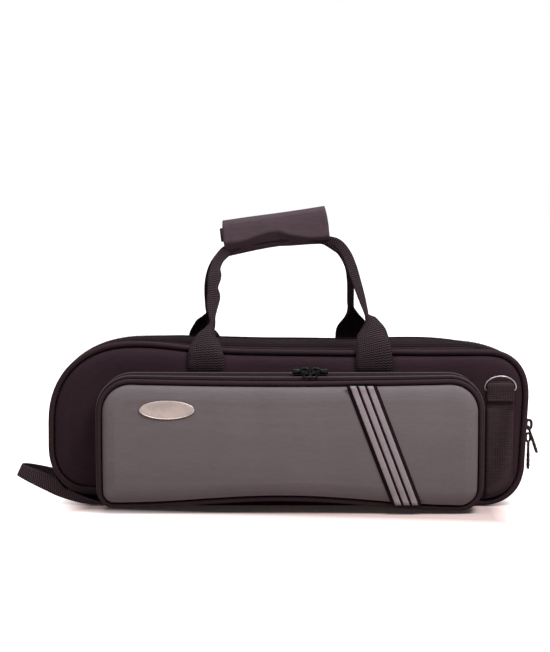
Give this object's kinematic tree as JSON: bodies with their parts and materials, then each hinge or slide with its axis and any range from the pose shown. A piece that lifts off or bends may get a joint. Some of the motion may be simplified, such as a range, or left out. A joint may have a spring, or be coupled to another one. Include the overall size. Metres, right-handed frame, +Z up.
{
  "type": "trumpet gig bag",
  "caption": "Padded gig bag for a trumpet, with a zipped lid, a fitted bed, an outer pocket, webbing handles under a wrapped grip, and rings for a shoulder strap.",
  "frame": {"origin": "on the floor under the middle of the bag, in the plane of the main zip and at the fold of the lid's hinge", "axes": "+X to the right seen from the pocket, +Y to the back, +Z up"},
  "size_m": [0.607, 0.2075, 0.3339],
  "materials": {
    "cover_nylon": "woven, matte",
    "padding_foam": "open-cell foam",
    "plush_lining": "short pile",
    "piping": "bound cord, slight sheen",
    "webbing": "ribbed webbing",
    "zip_nylon": "woven tape and coil",
    "hook_and_loop": "napped",
    "pocket_nylon": "coarse weave",
    "black_enamel": "gloss",
    "nickel": "polished",
    "badge_metal": "satin",
    "stripe_thread": "woven, slight sheen"
  },
  "bodies": {
    "rear_shell": {"rear_panel_fabric": "cover_nylon", "rear_panel_foam": "padding_foam", "rear_gusset_fabric": "cover_nylon", "rear_gusset_foam": "padding_foam", "rear_bottom_fabric": "cover_nylon", "rear_piping": "piping", "rear_zip_tape": "zip_nylon", "rear_zip_coil": "zip_nylon", "trumpet_bed": "plush_lining", "rear_web_left": "webbing", "rear_web_right": "webbing", "rear_ring_web": "webbing"},
    "front_shell": {"front_panel_fabric": "cover_nylon", "front_panel_foam": "padding_foam", "front_gusset_fabric": "cover_nylon", "front_gusset_foam": "padding_foam", "front_bottom_fabric": "cover_nylon", "front_piping": "piping", "front_zip_tape": "zip_nylon", "front_zip_coil": "zip_nylon", "front_lining": "plush_lining", "front_web_left": "webbing", "front_web_right": "webbing", "front_ring_web": "webbing", "pocket_rear_gusset": "cover_nylon", "pocket_rear_zip": "zip_nylon", "end_loop_anchor": "webbing"},
    "pocket_flap": {"pocket_front_gusset": "cover_nylon", "pocket_front_zip": "zip_nylon", "pocket_panel_fabric": "pocket_nylon", "pocket_panel_foam": "padding_foam", "pocket_piping": "piping", "badge_plate": "badge_metal", "stripe_ribbon": "webbing", "stripe_line_1": "stripe_thread", "stripe_line_2": "stripe_thread", "stripe_line_3": "stripe_thread"},
    "front_handle": {"front_handle_strap": "webbing", "grip_loop_strip": "hook_and_loop"},
    "grip_wrap": {"grip_flap": "cover_nylon", "grip_hook_strip": "hook_and_loop"},
    "rear_handle": {"rear_handle_strap": "webbing", "grip_back": "cover_nylon"},
    "front_d_ring": {"front_ring": "nickel"},
    "rear_d_ring": {"rear_ring": "nickel"},
    "upper_slider": {"main_slider_upper": "black_enamel"},
    "upper_pull": {"main_pull_upper": "black_enamel"},
    "lower_slider": {"main_slider_lower": "black_enamel"},
    "lower_pull": {"main_pull_lower": "black_enamel"},
    "left_pocket_slider": {"pocket_slider_left": "black_enamel"},
    "left_pocket_pull": {"pocket_pull_left": "black_enamel"},
    "right_pocket_slider": {"pocket_slider_right": "black_enamel"},
    "right_pocket_pull": {"pocket_pull_right": "black_enamel"},
    "left_end_loop": {"end_loop": "webbing"}
  },
  "joints": [
    {"name": "lid", "type": "hinge", "parent": "rear_shell", "child": "front_shell", "pos_m": [0, 0, 0], "axis": [1, 0, 0], "range_deg": [0, 170]},
    {"name": "pocket_opening", "type": "hinge", "parent": "front_shell", "child": "pocket_flap", "pos_m": [0, -0.098, 0.003], "axis": [1, 0, 0], "range_deg": [0, 60]},
    {"name": "front_handle_swing", "type": "hinge", "parent": "front_shell", "child": "front_handle", "pos_m": [0, -0.0776, 0.1775], "axis": [1, 0, 0], "range_deg": [0, 120]},
    {"name": "grip_wrap_opening", "type": "hinge", "parent": "front_handle", "child": "grip_wrap", "pos_m": [-0.0175, -0.00015, 0.32635], "axis": [-0.9925, 0, -0.1219], "range_deg": [0, 150]},
    {"name": "rear_handle_swing", "type": "hinge", "parent": "rear_shell", "child": "rear_handle", "pos_m": [0, 0.0776, 0.1775], "axis": [-1, 0, 0], "range_deg": [0, 165]},
    {"name": "front_ring_swing", "type": "hinge", "parent": "front_shell", "child": "front_d_ring", "pos_m": [0.239, -0.079, 0.1332], "axis": [1, 0, 0], "range_deg": [0, 120]},
    {"name": "rear_ring_swing", "type": "hinge", "parent": "rear_shell", "child": "rear_d_ring", "pos_m": [-0.226, 0.079, 0.1332], "axis": [-1, 0, 0], "range_deg": [0, 120]},
    {"name": "upper_slider_travel", "type": "slide", "parent": "rear_shell", "child": "upper_slider", "axis": [0, 0, 1], "range_m": [0, 0.03]},
    {"name": "upper_pull_swing", "type": "hinge", "parent": "upper_slider", "child": "upper_pull", "pos_m": [0.2794, 0, 0.0842], "axis": [0, -1, 0], "range_deg": [0, 150]},
    {"name": "lower_slider_travel", "type": "slide", "parent": "rear_shell", "child": "lower_slider", "axis": [0, 0, 1], "range_m": [-0.013, 0]},
    {"name": "lower_pull_swing", "type": "hinge", "parent": "lower_slider", "child": "lower_pull", "pos_m": [0.2794, 0, 0.0642], "axis": [0, -1, 0], "range_deg": [0, 40]},
    {"name": "left_pocket_slider_travel", "type": "slide", "parent": "front_shell", "child": "left_pocket_slider", "axis": [-1, 0, 0], "range_m": [0, 0.18]},
    {"name": "left_pocket_pull_swing", "type": "hinge", "parent": "left_pocket_slider", "child": "left_pocket_pull", "pos_m": [0.0192, -0.098, 0.1583], "axis": [0, 1, 0], "range_deg": [0, 95]},
    {"name": "right_pocket_slider_travel", "type": "slide", "parent": "front_shell", "child": "right_pocket_slider", "axis": [1, 0, 0], "range_m": [0, 0.14]},
    {"name": "right_pocket_pull_swing", "type": "hinge", "parent": "right_pocket_slider", "child": "right_pocket_pull", "pos_m": [0.0288, -0.098, 0.1583], "axis": [0, -1, 0], "range_deg": [0, 95]},
    {"name": "end_loop_swing", "type": "hinge", "parent": "front_shell", "child": "left_end_loop", "pos_m": [-0.24749, -0.036, 0.02044], "axis": [0, 1, 0], "range_deg": [0, 35]}
  ]
}
